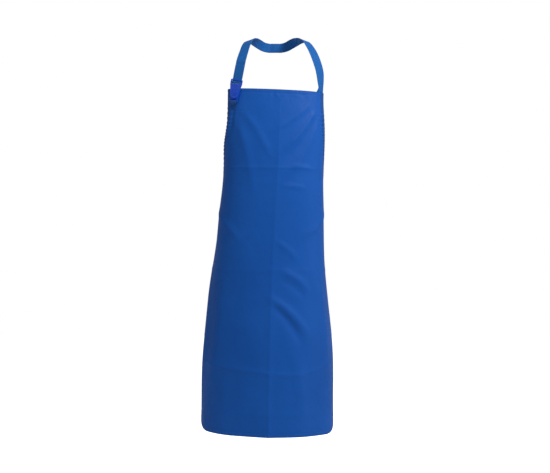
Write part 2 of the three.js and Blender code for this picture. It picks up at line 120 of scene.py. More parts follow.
# Share of the length, half breadth, half depth, squareness, the front line's Y and the lean, in millimetres.
FORM = np.array(
    [
        (0.0, 168, 92, 2.8, -184, 0),
        (0.1, 165, 98, 2.7, -193, -1),
        (0.22, 157, 106, 2.5, -198, -4),
        (0.37, 167, 118, 2.4, -200, -12),
        (0.5, 175, 130, 2.3, -203, -18),
        (0.61, 189, 142, 2.25, -207, -22),
        (0.78, 206, 158, 2.2, -214, -24),
        (1.0, 214, 172, 2.2, -220, -26),
    ]
)
FORM_STEP = 0.002
FORM_SPAN = 0.470
FORM_ABOVE, FORM_BELOW = 0.080, 0.020  # of the cloth, where the form goes on


def form_level(share):
    """The form's row at a share of the length, on a cubic through the rows of FORM."""
    at = FORM[:, 0]
    i = int(np.clip(np.searchsorted(at, share, side="right"), 1, len(at) - 1))
    t0, t1 = at[i - 1], at[i]
    before = i - 2 if i > 1 else i
    after = i + 1 if i + 1 < len(at) else i - 1
    weight_before = (t1 - t0) / 2 / (t0 - at[before])
    weight_after = (t1 - t0) / 2 / (at[after] - t1)
    p = (share - t0) / (t1 - t0)
    return (
        (-weight_before * p**3 + 2 * weight_before * p**2 - weight_before * p) * FORM[before]
        + ((1 + weight_before) * p**3 - (1.5 + 2 * weight_before) * p**2 + (weight_before - 0.5) * p + 1)
        * FORM[i - 1]
        + (-(1 + weight_after) * p**3 + (1.5 + weight_after) * p**2 + 0.5 * p) * FORM[i]
        + (weight_after * p**3 - weight_after * p**2) * FORM[after]
    )


def form_row(drop, rounds):
    """Places on the form at one drop below the bib edge, at these distances round from the front line."""
    _, breadth, depth, square, front, lean = form_level(np.clip(drop / APRON_LENGTH, 0, 1))

    def places(u):
        side, ahead = np.sin((u - 0.5) * math.tau), np.cos((u - 0.5) * math.tau)
        radius = (np.abs(side / breadth) ** square + np.abs(ahead / depth) ** square) ** (-1 / square)
        return np.stack([lean + radius * side, front + depth - radius * ahead], -1) * MM

    turn = np.linspace(0, 1, 721)
    steps = np.linalg.norm(np.diff(places(turn), axis=0), axis=1)
    length = np.concatenate([[0], np.cumsum(steps)])
    flat = places(np.interp(np.mod(0.5 + rounds / length[-1], 1) * length[-1], length, turn))
    fade = max(0, 1 - drop / ARMHOLE_DEPTH) ** 2
    return np.column_stack([flat, -NAPE - drop - BIB_TILT * rounds / BIB_WIDTH * fade])


form_drops = np.arange(-FORM_ABOVE, APRON_LENGTH + FORM_BELOW, FORM_STEP)
form_rounds = np.arange(-FORM_SPAN, FORM_SPAN + FORM_STEP, FORM_STEP)
form_table = np.array([form_row(drop, form_rounds) for drop in form_drops])


def on_form(s, drop):
    """Places on the form: s round from the front line, drop down from the bib edge."""
    s, drop = np.broadcast_arrays(np.asarray(s, float), np.asarray(drop, float))
    column = np.clip((s - form_rounds[0]) / FORM_STEP, 0, len(form_rounds) - 1.001)
    row = np.clip((drop - form_drops[0]) / FORM_STEP, 0, len(form_drops) - 1.001)
    i, j = row.astype(int), column.astype(int)
    a, b = (row - i)[..., None], (column - j)[..., None]
    upper = form_table[i, j] * (1 - b) + form_table[i, j + 1] * b
    lower = form_table[i + 1, j] * (1 - b) + form_table[i + 1, j + 1] * b
    return upper * (1 - a) + lower * a


def out_of_form(s, drop):
    """Unit vectors straight out of the form."""
    round_ = on_form(s + FORM_STEP, drop) - on_form(s - FORM_STEP, drop)
    down = on_form(s, drop + FORM_STEP) - on_form(s, drop - FORM_STEP)
    out = np.cross(down, round_)
    return out / np.linalg.norm(out, axis=-1, keepdims=True)


# ---- How the cloth lies ----


def half_width(drop):
    """Half the cut cloth's width: a straight bib, elliptical armholes, a straight skirt and round corners."""
    drop = np.asarray(drop, float)
    bib, full = BIB_WIDTH / 2, APRON_WIDTH / 2
    share = np.clip(drop / ARMHOLE_DEPTH, 0, 1)
    upper = full - (full - bib) * np.sqrt(1 - share**2)
    rise = np.clip(drop - (APRON_LENGTH - HEM_CORNER), 0, HEM_CORNER)
    lower = full - HEM_CORNER + np.sqrt(HEM_CORNER**2 - rise**2)
    return np.where(drop < ARMHOLE_DEPTH, upper, lower)


def smooth_step(x, low, high):
    t = np.clip((x - low) / (high - low), 0, 1)
    return t * t * (3 - 2 * t)


def centre_line(drop):
    """s of the pressed line down the middle."""
    return 0.016 - 0.011 * drop / APRON_LENGTH


# Pressed lines across: drop, from s, to s, height, how far they bend from level.
PRESSED_ACROSS = [
    (0.240, -0.150, 0.160, 1.3 * MM, 0.004),
    (0.556, -0.300, 0.290, 0.9 * MM, 0.003),
    (0.852, -0.220, 0.000, 2.8 * MM, 0.020),
    (0.876, 0.002, 0.110, 2.8 * MM, 0.004),
    (0.876, 0.110, 0.250, 2.2 * MM, -0.028),
    (0.998, -0.240, 0.200, 0.9 * MM, 0.003),
]

# Soft folds: from (s, drop) to (s, drop), height and half width.
FOLDS = [
    ((0.140, 0.040), (0.020, 0.200), 3.6 * MM, 0.010),
    ((0.148, 0.062), (0.050, 0.270), 3.0 * MM, 0.011),
    ((0.120, 0.030), (-0.010, 0.130), 2.4 * MM, 0.009),
    ((0.050, 0.236), (0.125, 0.248), 1.6 * MM, 0.008),
    ((0.030, 0.300), (0.110, 0.308), 1.4 * MM, 0.008),
    ((-0.118, 0.050), (-0.010, 0.210), 1.8 * MM, 0.012),
    ((-0.130, 0.075), (-0.060, 0.330), 2.2 * MM, 0.014),
    ((0.020, 0.470), (0.090, 0.530), 2.0 * MM, 0.010),
    ((0.040, 0.560), (0.130, 0.620), 3.4 * MM, 0.011),
    ((0.002, 0.638), (0.135, 0.765), 5.2 * MM, 0.013),
    ((0.150, 0.560), (0.200, 0.860), 5.0 * MM, 0.022),
    ((-0.060, 0.430), (-0.190, 0.520), 2.0 * MM, 0.014),
    ((-0.150, 0.560), (-0.215, 0.960), 3.2 * MM, 0.024),
    ((-0.240, 0.360), (-0.090, 0.470), 2.6 * MM, 0.013),
    ((0.235, 0.360), (0.100, 0.455), 2.6 * MM, 0.012),
    ((0.080, 0.800), (0.105, 1.060), 3.0 * MM, 0.022),
    ((-0.075, 0.820), (-0.095, 1.064), 2.6 * MM, 0.026),
    ((0.262, 0.420), (0.268, 0.980), 4.0 * MM, 0.020),
    ((-0.268, 0.420), (-0.262, 0.980), 4.0 * MM, 0.020),
]

# Hollows beside the folds, in the same terms.
HOLLOWS = [
    ((0.132, 0.070), (0.034, 0.226), 2.2 * MM, 0.012),
    ((0.016, 0.664), (0.110, 0.790), 4.4 * MM, 0.014),
    ((-0.134, 0.030), (-0.150, 0.150), 2.4 * MM, 0.007),
    ((0.035, 0.585), (0.120, 0.645), 1.6 * MM, 0.010),
    ((0.000, 0.830), (0.010, 1.060), 2.0 * MM, 0.030),
]


def fold_height(s, drop, folds):
    """Height of these folds together; each one is bowed, and swells and fades along its length."""
    total = np.zeros(np.broadcast(s, drop).shape)
    for (s0, drop0), (s1, drop1), height, half in folds:
        run = np.array([s1 - s0, drop1 - drop0])
        length = np.hypot(*run)
        along = ((s - s0) * run[0] + (drop - drop0) * run[1]) / length**2
        across = ((s - s0) * run[1] - (drop - drop0) * run[0]) / length
        bow = 0.05 * length * np.sin(np.clip(along, 0, 1) * math.pi)
        swell = smooth_step(along, -0.12, 0.30) * (1 - smooth_step(along, 0.70, 1.12))
        total += height * swell * np.exp(-(((across - bow) / half) ** 2))
    return total


def pressed_height(s, drop):
    """The lines that the apron was folded along in its packet."""
    line = np.abs(s - centre_line(drop))
    sharp = 0.7 + 1.5 * smooth_step(drop, 0.35, 0.90)
    height = sharp * MM * np.exp(-line / 0.009) + 2.6 * MM * np.exp(-line / 0.040)
    height = height * (0.35 + 0.65 * smooth_step(drop, 0.02, 0.30))
    for level, s0, s1, peak, bend in PRESSED_ACROSS:
        middle = level + bend * (s - s0) / (s1 - s0)
        ends = smooth_step(s, s0 - 0.03, s0 + 0.02) * (1 - smooth_step(s, s1 - 0.02, s1 + 0.03))
        height = height + peak * ends * np.exp(-np.abs(drop - middle) / 0.007)
    return height


PUCKER, PUCKER_PITCH = 1.5 * MM, 0.0115  # along the taped armholes
GATHER = 0.45 * MM  # under the bib hem
HEM_SEAM = 0.6 * MM  # how far the bib hem's stitching draws in


def ripple_height(s, drop):
    """Puckers along the tapes, gathers under the bib hem, and the slow wave of the hanging skirt."""
    inward = half_width(drop) - np.abs(s)
    bib = smooth_step(drop, 0.030, 0.070) * (1 - smooth_step(drop, 0.150, 0.270))
    right = np.where(s < 0, 1.0, 0.45)
    pucker = PUCKER * right * bib * np.exp(-((inward - TAPE_WIDTH) / 0.014) ** 2)
    ripple = pucker * np.sin(math.tau * (drop / PUCKER_PITCH + 0.5 * np.sin(drop / 0.023)))
    gather = np.exp(-((drop - TOP_HEM - 0.003) / 0.007) ** 2) * smooth_step(s, -0.055, 0.0)
    beat = np.sin(s / 0.0047 + 2.0 * np.sin(s / 0.019)) + 0.6 * np.sin(s / 0.0083 + 1.0)
    ripple = ripple + GATHER * gather * beat
    seam = np.exp(-(((drop - TOP_HEM + 0.0015) / 0.0022) ** 2))
    ripple = ripple - HEM_SEAM * seam
    hang = smooth_step(drop, 0.45, APRON_LENGTH)
    wave = 3.4 * MM * np.sin(s / 0.034 + 0.7) + 1.7 * MM * np.sin(s / 0.019 - 4.0 * drop)
    swell = 0.9 * MM * np.sin(s / 0.047 + drop / 0.110) * np.sin(drop / 0.071 - s / 0.160)
    return ripple + hang * wave * 0.55 + swell


def turned_back(s, drop):
    """How far the bib's two upper corners turn back round the chest, where tape and strap draw on them."""
    inward = half_width(drop) - np.abs(s)
    width = 0.030 - 0.017 * smooth_step(drop, 0.050, 0.150)
    right = 8.0 * MM * (1 - smooth_step(drop, 0.090, 0.180))
    left = 2.5 * MM * (1 - smooth_step(drop, 0.020, 0.120))
    depth = np.where(s < 0, right, left)
    return depth * (1 - smooth_step(inward, 0.0, width)) * smooth_step(np.abs(s), 0.10, 0.12)


# Ovals where the cloth is held flat: middle (s, drop) and half sizes.
UNDER_BUCKLE = (-0.118, 0.020, 0.032, 0.075)
UNDER_WAIST_STRAP = (0.265, 0.330, 0.050, 0.045)  # and its mirror image
OVER_FIXED_STRAP = (0.140, 0.020, 0.034, 0.050)


def from_middle(oval, s, drop):
    """Distance from an oval's middle, as a share of its size."""
    s0, drop0, half_s, half_drop = oval
    return np.hypot((s - s0) / half_s, (drop - drop0) / half_drop)


def relief(s, drop):
    """How far the cloth stands out from the form, less where the buckle and the straps hold it flat."""
    s, drop = np.broadcast_arrays(np.asarray(s, float), np.asarray(drop, float))
    height = fold_height(s, drop, FOLDS) - fold_height(s, drop, HOLLOWS)
    height = height + pressed_height(s, drop) + ripple_height(s, drop)
    free = smooth_step(from_middle(UNDER_BUCKLE, s, drop), 0.85, 1.5)
    height = np.where(height > 0, height * free, height)
    for side in (-1, 1):
        height = height * smooth_step(from_middle(UNDER_WAIST_STRAP, side * s, drop), 0.9, 1.8)
    return height * smooth_step(from_middle(OVER_FIXED_STRAP, s, drop), 0.7, 1.3) - turned_back(s, drop)


def on_cloth(s, drop, out):
    """Places this far out from the wearer, on the cloth as it hangs."""
    s, drop, out = np.broadcast_arrays(*(np.asarray(k, float) for k in (s, drop, out)))
    lift = relief(s, drop) + out
    places = on_form(s, drop) + out_of_form(s, drop) * lift[..., None]
    places[..., 2] -= HEM_TILT * s * smooth_step(drop, 0.5 * APRON_LENGTH, APRON_LENGTH)
    return places


# ---- Making meshes ----


def keep_only(piece):
    bpy.ops.object.select_all(action="DESELECT")
    piece.select_set(True)
    bpy.context.view_layer.objects.active = piece


def apply_modifier(piece, kind, **settings):
    modifier = piece.modifiers.new(kind.title(), kind)
    for name, value in settings.items():
        setattr(modifier, name, value)
    keep_only(piece)
    bpy.ops.object.modifier_apply(modifier=modifier.name)
    return piece


def strip(name, places, cut):
    """A grid of faces whose corners are places[i, j], with a UV map in metres of the flat cut."""
    rows, columns = places.shape[:2]
    bpy.ops.mesh.primitive_grid_add(x_subdivisions=columns - 1, y_subdivisions=rows - 1, size=1)
    piece = bpy.context.object
    piece.name = piece.data.name = name
    mesh = piece.data
    corners = np.empty(len(mesh.vertices) * 3)
    mesh.vertices.foreach_get("co", corners)
    corners = corners.reshape(-1, 3)
    column = np.rint((corners[:, 0] + 0.5) * (columns - 1)).astype(int)
    row = np.rint((0.5 - corners[:, 1]) * (rows - 1)).astype(int)
    mesh.vertices.foreach_set("co", places[row, column].ravel())
    layer = mesh.uv_layers.new(name="Cut") if not mesh.uv_layers else mesh.uv_layers[0]
    layer.name = "Cut"
    loops = np.empty(len(mesh.loops), dtype=int)
    mesh.loops.foreach_get("vertex_index", loops)
    layer.data.foreach_set("uv", cut[row[loops], column[loops]].ravel())
    mesh.update()
    return piece


def thicken(piece, thickness, offset=0.0, rounding=0.0):
    apply_modifier(piece, "SOLIDIFY", thickness=thickness, offset=offset, use_even_offset=True)
    if rounding:
        apply_modifier(
            piece, "BEVEL", width=rounding, segments=2, limit_method="ANGLE", angle_limit=math.radians(60)
        )
    keep_only(piece)
    bpy.ops.object.shade_smooth_by_angle(angle=math.radians(50))
    return piece


def cloth_strip(name, s, drop, out, thickness, rounding=0.0):
    """A piece of cloth sewn to the apron, over a grid of s and drop, out from the wearer at its middle."""
    cut = np.stack(np.broadcast_arrays(s, drop), -1)
    return thicken(strip(name, on_cloth(s, drop, out), cut), thickness, 0.0, rounding)


# ---- The panel ----


def panel_rows():
    """Drops of the panel's rows, close together on the bib and where the outline turns."""
    corner = APRON_LENGTH - HEM_CORNER
    quarter = math.pi / 2
    bib = np.linspace(0, CURVED_ROWS_FROM * ARMHOLE_DEPTH, BIB_ROWS)[:-1]
    waist = ARMHOLE_DEPTH * np.sin(np.linspace(math.asin(CURVED_ROWS_FROM), quarter, WAIST_ROWS))
    skirt = np.linspace(ARMHOLE_DEPTH, corner, SKIRT_ROWS)[1:-1]
    hem = corner + HEM_CORNER * np.sin(np.linspace(0, quarter, CORNER_ROWS))
    return np.concatenate([bib, waist, skirt, hem])


def panel_grid():
    """(s, drop) of the panel's corners, with one column on the pressed centre line."""
    drop = panel_rows()[:, None]
    right, left = PANEL_COLUMNS
    line = centre_line(drop)
    half = half_width(drop)
    a = np.linspace(0, 1, right + 1)[None, :]
    b = np.linspace(0, 1, left + 1)[None, 1:]
    s = np.concatenate([-half + (line + half) * a, line + (half - line) * b], axis=1)
    return np.broadcast_arrays(s, drop)


s_grid, drop_grid = panel_grid()
panel = cloth_strip("apron_cloth", s_grid, drop_grid, CLOTH_FACE - CLOTH / 2, CLOTH)


# ---- Bands along the cloth's edges ----


def armhole_edge(side):
    """(s, drop) down one armhole to just short of its corner, and the way inwards from each place."""
    drop = ARMHOLE_DEPTH * np.sin(np.linspace(0, math.pi / 2 * TAPED, ARMHOLE_STEPS))
    return edge_with_inward(np.stack([side * half_width(drop), drop], -1), -side)


def skirt_edge():
    """(s, drop) from the right waist corner down the side, round the hem and up to the left one."""
    half, corner = APRON_WIDTH / 2, APRON_LENGTH - HEM_CORNER
    down = np.linspace(ARMHOLE_DEPTH + 0.001, corner, SIDE_STEPS)[:-1]
    turn = np.linspace(0, math.pi / 2, CORNER_STEPS)[:-1]
    bend = (-half + HEM_CORNER * (1 - np.cos(turn)), corner + HEM_CORNER * np.sin(turn))
    across = np.linspace(-(half - HEM_CORNER), 0, HALF_HEM_STEPS)[:-1]
    stretches = [(np.full_like(down, -half), down), bend, (across, np.full_like(across, APRON_LENGTH))]
    right = np.concatenate([np.stack(stretch, -1) for stretch in stretches])
    left = right[::-1] * (-1, 1)
    return edge_with_inward(np.concatenate([right, [(0, APRON_LENGTH)], left]), 1)


def top_edge():
    s = np.linspace(-BIB_WIDTH / 2, BIB_WIDTH / 2, TOP_STEPS)
    return edge_with_inward(np.stack([s, np.zeros_like(s)], -1), -1)


def edge_with_inward(outline, turn):
    """The outline and its inward normal: turn is 1 if the cloth lies to the right of the way along it."""
    along = np.gradient(outline, axis=0)
    along /= np.linalg.norm(along, axis=1, keepdims=True)
    return outline, turn * np.stack([along[:, 1], -along[:, 0]], -1)


def edge_band(name, edge, profile):
    """A band folded over an edge: profile is (inwards, out from the wearer) in millimetres."""
    outline, inward = edge
    q, out = (np.array(profile) * MM).T
    s = outline[:, :1] + inward[:, :1] * q
    drop = outline[:, 1:] + inward[:, 1:] * q
    length = np.concatenate([[0], np.cumsum(np.linalg.norm(np.diff(outline, axis=0), axis=1))])
    width = np.concatenate([[0], np.cumsum(np.hypot(np.diff(q), np.diff(out)))])
    cut = np.stack(np.broadcast_arrays(width[None, :], length[:, None]), -1)
    return thicken(strip(name, on_cloth(s, drop, out), cut), BINDING)


TAPE_FOLD = [(12, 1.35), (9, 1.4), (6, 1.4), (3, 1.42), (0.8, 1.5), (-0.6, 1.35), (-1.15, 0.6), (-0.6, -0.15)]
TAPE_FOLD += [(0.8, -0.3), (3, -0.22), (6, -0.2), (9, -0.2), (12, -0.15)]
HEM_FOLD = [(-0.3, 1.0), (-0.85, 0.75), (-0.9, 0.2), (-0.3, -0.3), (2, -0.4), (5, -0.38), (8, -0.38)]

tape_right = edge_band("right_armhole_tape", armhole_edge(-1), TAPE_FOLD)
tape_left = edge_band("left_armhole_tape", armhole_edge(1), TAPE_FOLD)
bib_hem = edge_band("bib_hem", top_edge(), HEM_FOLD + [(11, -0.38), (TOP_HEM / MM, -0.35)])
skirt_hem = edge_band("skirt_hem", skirt_edge(), HEM_FOLD + [(SIDE_HEM / MM, -0.35)])

# ---- Doubled cloth and the label, inside ----


def patch(name, s0, s1, high, low, out=PATCH_OUT, thickness=PATCH_CLOTH):
    s = np.linspace(s0, s1, PATCH_STEPS)[None, :]
    drop = np.linspace(high, low, PATCH_STEPS)[:, None]
    return cloth_strip(name, *np.broadcast_arrays(s, drop), out, thickness, PATCH_ROUNDING)


patches = []
waist_high = WAIST_STRAP_DROP - WAIST_PATCH[1] / 2 + 0.003
for side, word in ((-1, "right"), (1, "left")):
    ends = (side * BIB_PATCH_EDGE, side * (BIB_PATCH_EDGE - BIB_PATCH[0]))
    patches.append(patch(f"{word}_bib_patch", *ends, TOP_HEM + 0.001, TOP_HEM + BIB_PATCH[1]))
    ends = (side * WAIST_PATCH_EDGE, side * (WAIST_PATCH_EDGE - WAIST_PATCH[0]))
    patches.append(patch(f"{word}_waist_patch", *ends, waist_high, waist_high + WAIST_PATCH[1]))
ends = (-LABEL[0] / 2, LABEL[0] / 2)
label = patch("care_tag", *ends, LABEL_TOP, LABEL_TOP + LABEL[1], LABEL_OUT, LABEL_CLOTH)

# ---- Webbing ----


class BucklePlane:
    """A buckle's own plane: u across, v along the strap, w out from the wearer, in millimetres."""

    HINGE_V, HINGE_W = -26.7, 5.1

    def __init__(self, slide, press):
        joints = {joint["name"]: joint for joint in frame["joints"]}
        self.u = -Vector(joints[press]["axis"]).normalized()
        self.v = Vector(joints[slide]["axis"]).normalized()
        self.w = self.u.cross(self.v).normalized()
        hinge = Vector(joints[press]["pos_m"])
        self.origin = hinge - (self.v * self.HINGE_V + self.w * self.HINGE_W) * MM

    def at(self, u, v, w):
        return np.array(self.origin + (self.u * u + self.v * v + self.w * w) * MM)

    def way(self, v, w):
        return np.array(self.v * v + self.w * w)

    def stop(self, v, w, facing_v, facing_w):
        return self.at(0, v, w), self.way(facing_v, facing_w)


neck = BucklePlane("neck_clip_slide", "neck_button_press")
waist = BucklePlane("waist_clip_slide", "waist_button_press")

# Webbing through a ladder: the strand behind, round the bar and back up as the loose end. Each stop is the
# middle of the webbing at (v, w) and the way that its bar side looks.
LADDER_TURN = [(80, 4.1, 0, 1), (50, 4.1, 0, 1), (27, 4.1, 0, 1), (21.6, 4.2, 0.2, 1), (19.5, 5.5, 0.8, 0.6)]
LADDER_TURN += [(19.2, 8.2, 1, 0), (20.1, 10.5, 0.7, -0.7), (22, 11.1, 0, -1), (23.9, 10.5, -0.7, -0.7)]
LADDER_TURN += [(24.7, 8.2, -1, 0), (25.4, 6.3, -0.7, -0.7), (28, 5.6, 0, -1), (50, 5.6, 0, -1)]
LADDER_TURN += [(76, 5.6, 0, -1)]

# Webbing round the bar of a base and sewn back on itself, from the level of its back strand.
BAR_TURN = [(-36.5, 0.55, 0, 1), (-34.4, 1.4, -0.8, 0.5), (-33.95, 3.2, -1, 0), (-34.4, 5.0, -0.8, -0.5)]
BAR_TURN += [(-36.5, 5.85, 0, -1), (-39.5, 5.5, 0.3, -0.95)]


def smooth_route(stops, steps):
    """Points on a centripetal curve through the stops, this many to each stretch."""
    p = np.asarray(stops, float)
    p = np.vstack([2 * p[0] - p[1], p, 2 * p[-1] - p[-2]])
    t = (np.arange(steps) / steps)[:, None]
    points = []
    for p0, p1, p2, p3 in zip(p, p[1:], p[2:], p[3:]):
        d0, d1, d2 = (np.linalg.norm(b - a) ** 0.5 for a, b in ((p0, p1), (p1, p2), (p2, p3)))
        d1 = d1 if d1 > 1e-4 else 1.0
        d0, d2 = (d if d > 1e-4 else d1 for d in (d0, d2))
        start = ((p1 - p0) / d0 - (p2 - p0) / (d0 + d1) + (p2 - p1) / d1) * d1
        end = ((p2 - p1) / d1 - (p3 - p1) / (d1 + d2) + (p3 - p2) / d2) * d1
        points.append(
            p1 + start * t + (3 * (p2 - p1) - 2 * start - end) * t**2 + (2 * (p1 - p2) + start + end) * t**3
        )
    return np.vstack(points + [p[-2:-1]])


def unit(vectors):
    return vectors / np.linalg.norm(vectors, axis=-1, keepdims=True)


def ribbon_places(stops, width=WEBBING, crossings=9):
    """The grid of a flat strap's middle surface through stops of (place, facing), and its flat cut."""
    path = smooth_route([place for place, _ in stops], ROUTE_STEPS)
    facing = smooth_route([way for _, way in stops], ROUTE_STEPS)
    along = unit(np.gradient(path, axis=0))
    facing = unit(facing - along * np.sum(facing * along, axis=1, keepdims=True))
    across = np.cross(along, facing)
    offsets = np.linspace(-width / 2, width / 2, crossings)
    places = path[:, None, :] + across[:, None, :] * offsets[None, :, None]
    length = np.concatenate([[0], np.cumsum(np.linalg.norm(np.diff(path, axis=0), axis=1))])
    cut = np.stack(np.broadcast_arrays(offsets[None, :], length[:, None]), -1)
    return places, cut


def webbing(name, places, cut):
    return thicken(strip(name, places, cut), WEB, 0.0, WEB_EDGE)


def nearest_on_form(place):
    """(s, drop) of the place on the form that is nearest to this one."""
    gap = np.linalg.norm(form_table - place, axis=-1)
    i, j = np.unravel_index(np.argmin(gap), gap.shape)
    return form_rounds[j], form_drops[i]


def above_bib(x, y, z, facing):
    """A stop of the neck strap: the place of its inner face in millimetres, with z up from the bib edge."""
    way = unit(np.array(facing, float))
    return np.array([x, y, z]) * MM - (0, 0, NAPE) + way * WEB / 2, way


NAPE_MM = NAPE / MM
RIGHT_SHOULDER = [
    above_bib(-68, -62, NAPE_MM + 11, (-0.45, 0.2, 0.87)),
    above_bib(-80, -98, NAPE_MM + 6, (-0.35, -0.25, 0.9)),
    above_bib(-89, -131, 150, (-0.3, -0.6, 0.7)),
    above_bib(-97, -157, 121, (-0.3, -0.85, 0.4)),
]
NAPE_AND_LEFT = [
    above_bib(-68, -62, NAPE_MM + 11, (-0.45, 0.2, 0.87)),
    above_bib(-54, -32, NAPE_MM + 8, (-0.5, 0.65, 0.5)),
    above_bib(-36, -10, NAPE_MM + 2, (-0.3, 0.9, 0.15)),
    above_bib(-18, 0, NAPE_MM, (0, 1, 0)),
    above_bib(-6, 0, NAPE_MM, (0, 1, 0)),
    above_bib(6, 0, NAPE_MM, (0, 1, 0)),
    above_bib(18, 0, NAPE_MM, (0, 1, 0)),
    above_bib(36, -10, NAPE_MM + 2, (0.3, 0.9, 0.15)),
    above_bib(55, -32, NAPE_MM + 8, (0.5, 0.65, 0.5)),
    above_bib(75, -64, NAPE_MM + 11, (0.45, 0.2, 0.87)),
    above_bib(94, -97, NAPE_MM + 5, (0.4, -0.3, 0.87)),
    above_bib(112, -124, 140, (0.4, -0.6, 0.7)),
    above_bib(127, -141, 104, (0.45, -0.80, 0.38)),
    above_bib(139, -149, 62, (0.56, -0.81, 0.15)),
    above_bib(142, -149, 28, (0.76, -0.65, 0)),
    above_bib(142.5, -148, 8, (0.86, -0.51, 0)),
]
STRAP_INSIDE = -2.4 * MM  # middle of a strap that is sewn behind a patch
NECK_END_S = BIB_WIDTH / 2 - WEBBING / 2 - 0.001
FREE_ABOVE, FLAT_BELOW = -0.006, 0.014  # drops between which the fixed strap settles on the cloth


def right_neck_strap():
    """Over the right shoulder, down to the ladder, round its bar and up again as the loose end."""
    stops = RIGHT_SHOULDER + [neck.stop(92, 4.1, 0, 1)]
    stops += [neck.stop(*turn) for turn in LADDER_TURN]
    piece = webbing("neck_strap_and_ladder_end", *ribbon_places(stops))
    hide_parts("neck_strap_end")
    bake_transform(piece)
    return piece


def left_neck_strap():
    """From the right shoulder round the nape and down to the bib's fixed corner, where it is sewn inside."""
    drops = np.array([0.016, 0.030, SEWN])
    sewn = list(zip(on_cloth(NECK_END_S, drops, STRAP_INSIDE), out_of_form(NECK_END_S, drops)))
    places, cut = ribbon_places(NAPE_AND_LEFT + sewn)
    middle = places[:, places.shape[1] // 2]
    drop = -NAPE - middle[:, 2] - BIB_TILT * NECK_END_S / BIB_WIDTH
    on_left = middle[:, 0] > 0.1
    hold = np.where(on_left, smooth_step(drop, FREE_ABOVE, FLAT_BELOW), 0)
    s = NECK_END_S - cut[..., 0]
    drops = np.broadcast_to(np.clip(drop, form_drops[0], SEWN)[:, None], s.shape)
    conformed = on_cloth(s, drops, STRAP_INSIDE)
    places = places + (conformed - places) * hold[:, None, None]
    piece = webbing("neck_strap_webbing", places, cut)
    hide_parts("neck_strap")
    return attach(piece, "apron")


def waist_stops(side, plane_v, plane_w):
    """From inside the patch round the side to the plane of the waist buckle."""
    s = side * (WAIST_PATCH_EDGE + np.array([-SEWN, -SEWN / 2, 0, 0.012]))
    stops = list(zip(on_cloth(s, WAIST_STRAP_DROP, STRAP_INSIDE), out_of_form(s, WAIST_STRAP_DROP)))
    away = math.copysign(1, plane_v)
    lead, radius = 6, 30  # of the bend onto the plane, in millimetres
    for degrees in (45, 22.5, 0):
        turn = math.radians(degrees)
        v = plane_v + away * (lead + radius * math.sin(turn))
        w = plane_w - radius * (1 - math.cos(turn))
        stops.append(waist.stop(v, w, away * math.sin(turn), math.cos(turn)))
    return stops


def right_waist_strap():
    stops = waist_stops(-1, 80, 4.1) + [waist.stop(*turn) for turn in LADDER_TURN]
    piece = webbing("waist_strap_and_ladder_end", *ribbon_places(stops))
    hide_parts("waist_strap_right", "waist_strap_end")
    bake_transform(piece)
    return piece


LOOP_BACK = 1.9 * MM  # middle of the loop's back strand, out from the wearer
LOOP_STRANDS = 1.5 * MM  # from the back strand to the front one


def bar_fold(plane, back, front, end):
    """Stops up the back strand, round the bar and down the front strand to its end, in millimetres."""
    stops = [(v, back + rise, 0, 1) for v, rise in ((-52, 0), (-44, -0.4 if back > 1 else 0))]
    stops += BAR_TURN + [(-44, front + 0.7, 0.2, -1), (-50, front, 0, -1), (end, front, 0, -1)]
    return [plane.stop(*stop) for stop in stops]


def left_waist_strap():
    stops = waist_stops(1, -80, 2.3) + [waist.stop(-72, 2.3, 0, 1)] + bar_fold(waist, 2.2, 3.75, -70)
    piece = webbing("waist_strap_webbing", *ribbon_places(stops))
    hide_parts("waist_strap_left")
    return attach(piece, "apron")


def neck_loop():
    """The short loop that holds the neck buckle, folded round its bar and sewn to the front of the bib."""
    back = []
    for v in (LOOP_END, LOOP_END + 6):
        s, drop = nearest_on_form(neck.at(0, v, 0))
        back.append((on_cloth(s, drop, LOOP_BACK), out_of_form(s, drop)))
    front = [(place + way * LOOP_STRANDS, -way) for place, way in reversed(back)]
    fold = bar_fold(neck, 1.0, 2.6, -44)[2:-2]
    piece = webbing("neck_buckle_loop", *ribbon_places(back + fold + front, LOOP))
    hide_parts("neck_buckle_tab")
    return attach(piece, "apron")


straps = [right_neck_strap(), left_neck_strap(), right_waist_strap(), left_waist_strap()]
loop = neck_loop()

# ---- Buckles ----


def moulded(name, node, bevel, body):
    """A moulding with rounded edges, from the shape of its CAD solid."""
    piece = frame["nodes"][node].copy()
    piece.data = piece.data.copy()
    piece.name = piece.data.name = name
    piece.parent = None
    for key in list(piece.keys()):
        del piece[key]
    bpy.context.scene.collection.objects.link(piece)
    keep_only(piece)
    bpy.ops.object.mode_set(mode="EDIT")
    bpy.ops.mesh.select_all(action="SELECT")
    bpy.ops.mesh.remove_doubles(threshold=0.01 * MM)
    bpy.ops.mesh.dissolve_limited(angle_limit=math.radians(2))
    bpy.ops.object.mode_set(mode="OBJECT")
    rounded = {"width": bevel, "segments": 3, "limit_method": "ANGLE", "angle_limit": math.radians(50)}
    apply_modifier(piece, "BEVEL", use_clamp_overlap=True, **rounded)
    keep_only(piece)
    bpy.ops.object.shade_smooth_by_angle(angle=math.radians(35))
    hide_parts(node)
    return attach(piece, body)


def bar_on_plane(plane, u, v, w, size, turn=0.0):
    """A small rounded bar lying in a buckle's plane: size is (across, along, out) in millimetres."""
    bpy.ops.mesh.primitive_cube_add(size=1)
    piece = bpy.context.object
    basis = Matrix((plane.u, plane.v, plane.w)).transposed().to_4x4()
    scale = Matrix.Diagonal((size[0] * MM, size[1] * MM, size[2] * MM, 1))
    place = Matrix.Translation(Vector(plane.at(u, v, w)))
    piece.data.transform(place @ basis @ Matrix.Rotation(math.radians(turn), 4, "Z") @ scale)
    apply_modifier(
        piece, "BEVEL", width=0.35 * min(size) * MM, segments=2, limit_method="ANGLE", angle_limit=0.9
    )
    return piece


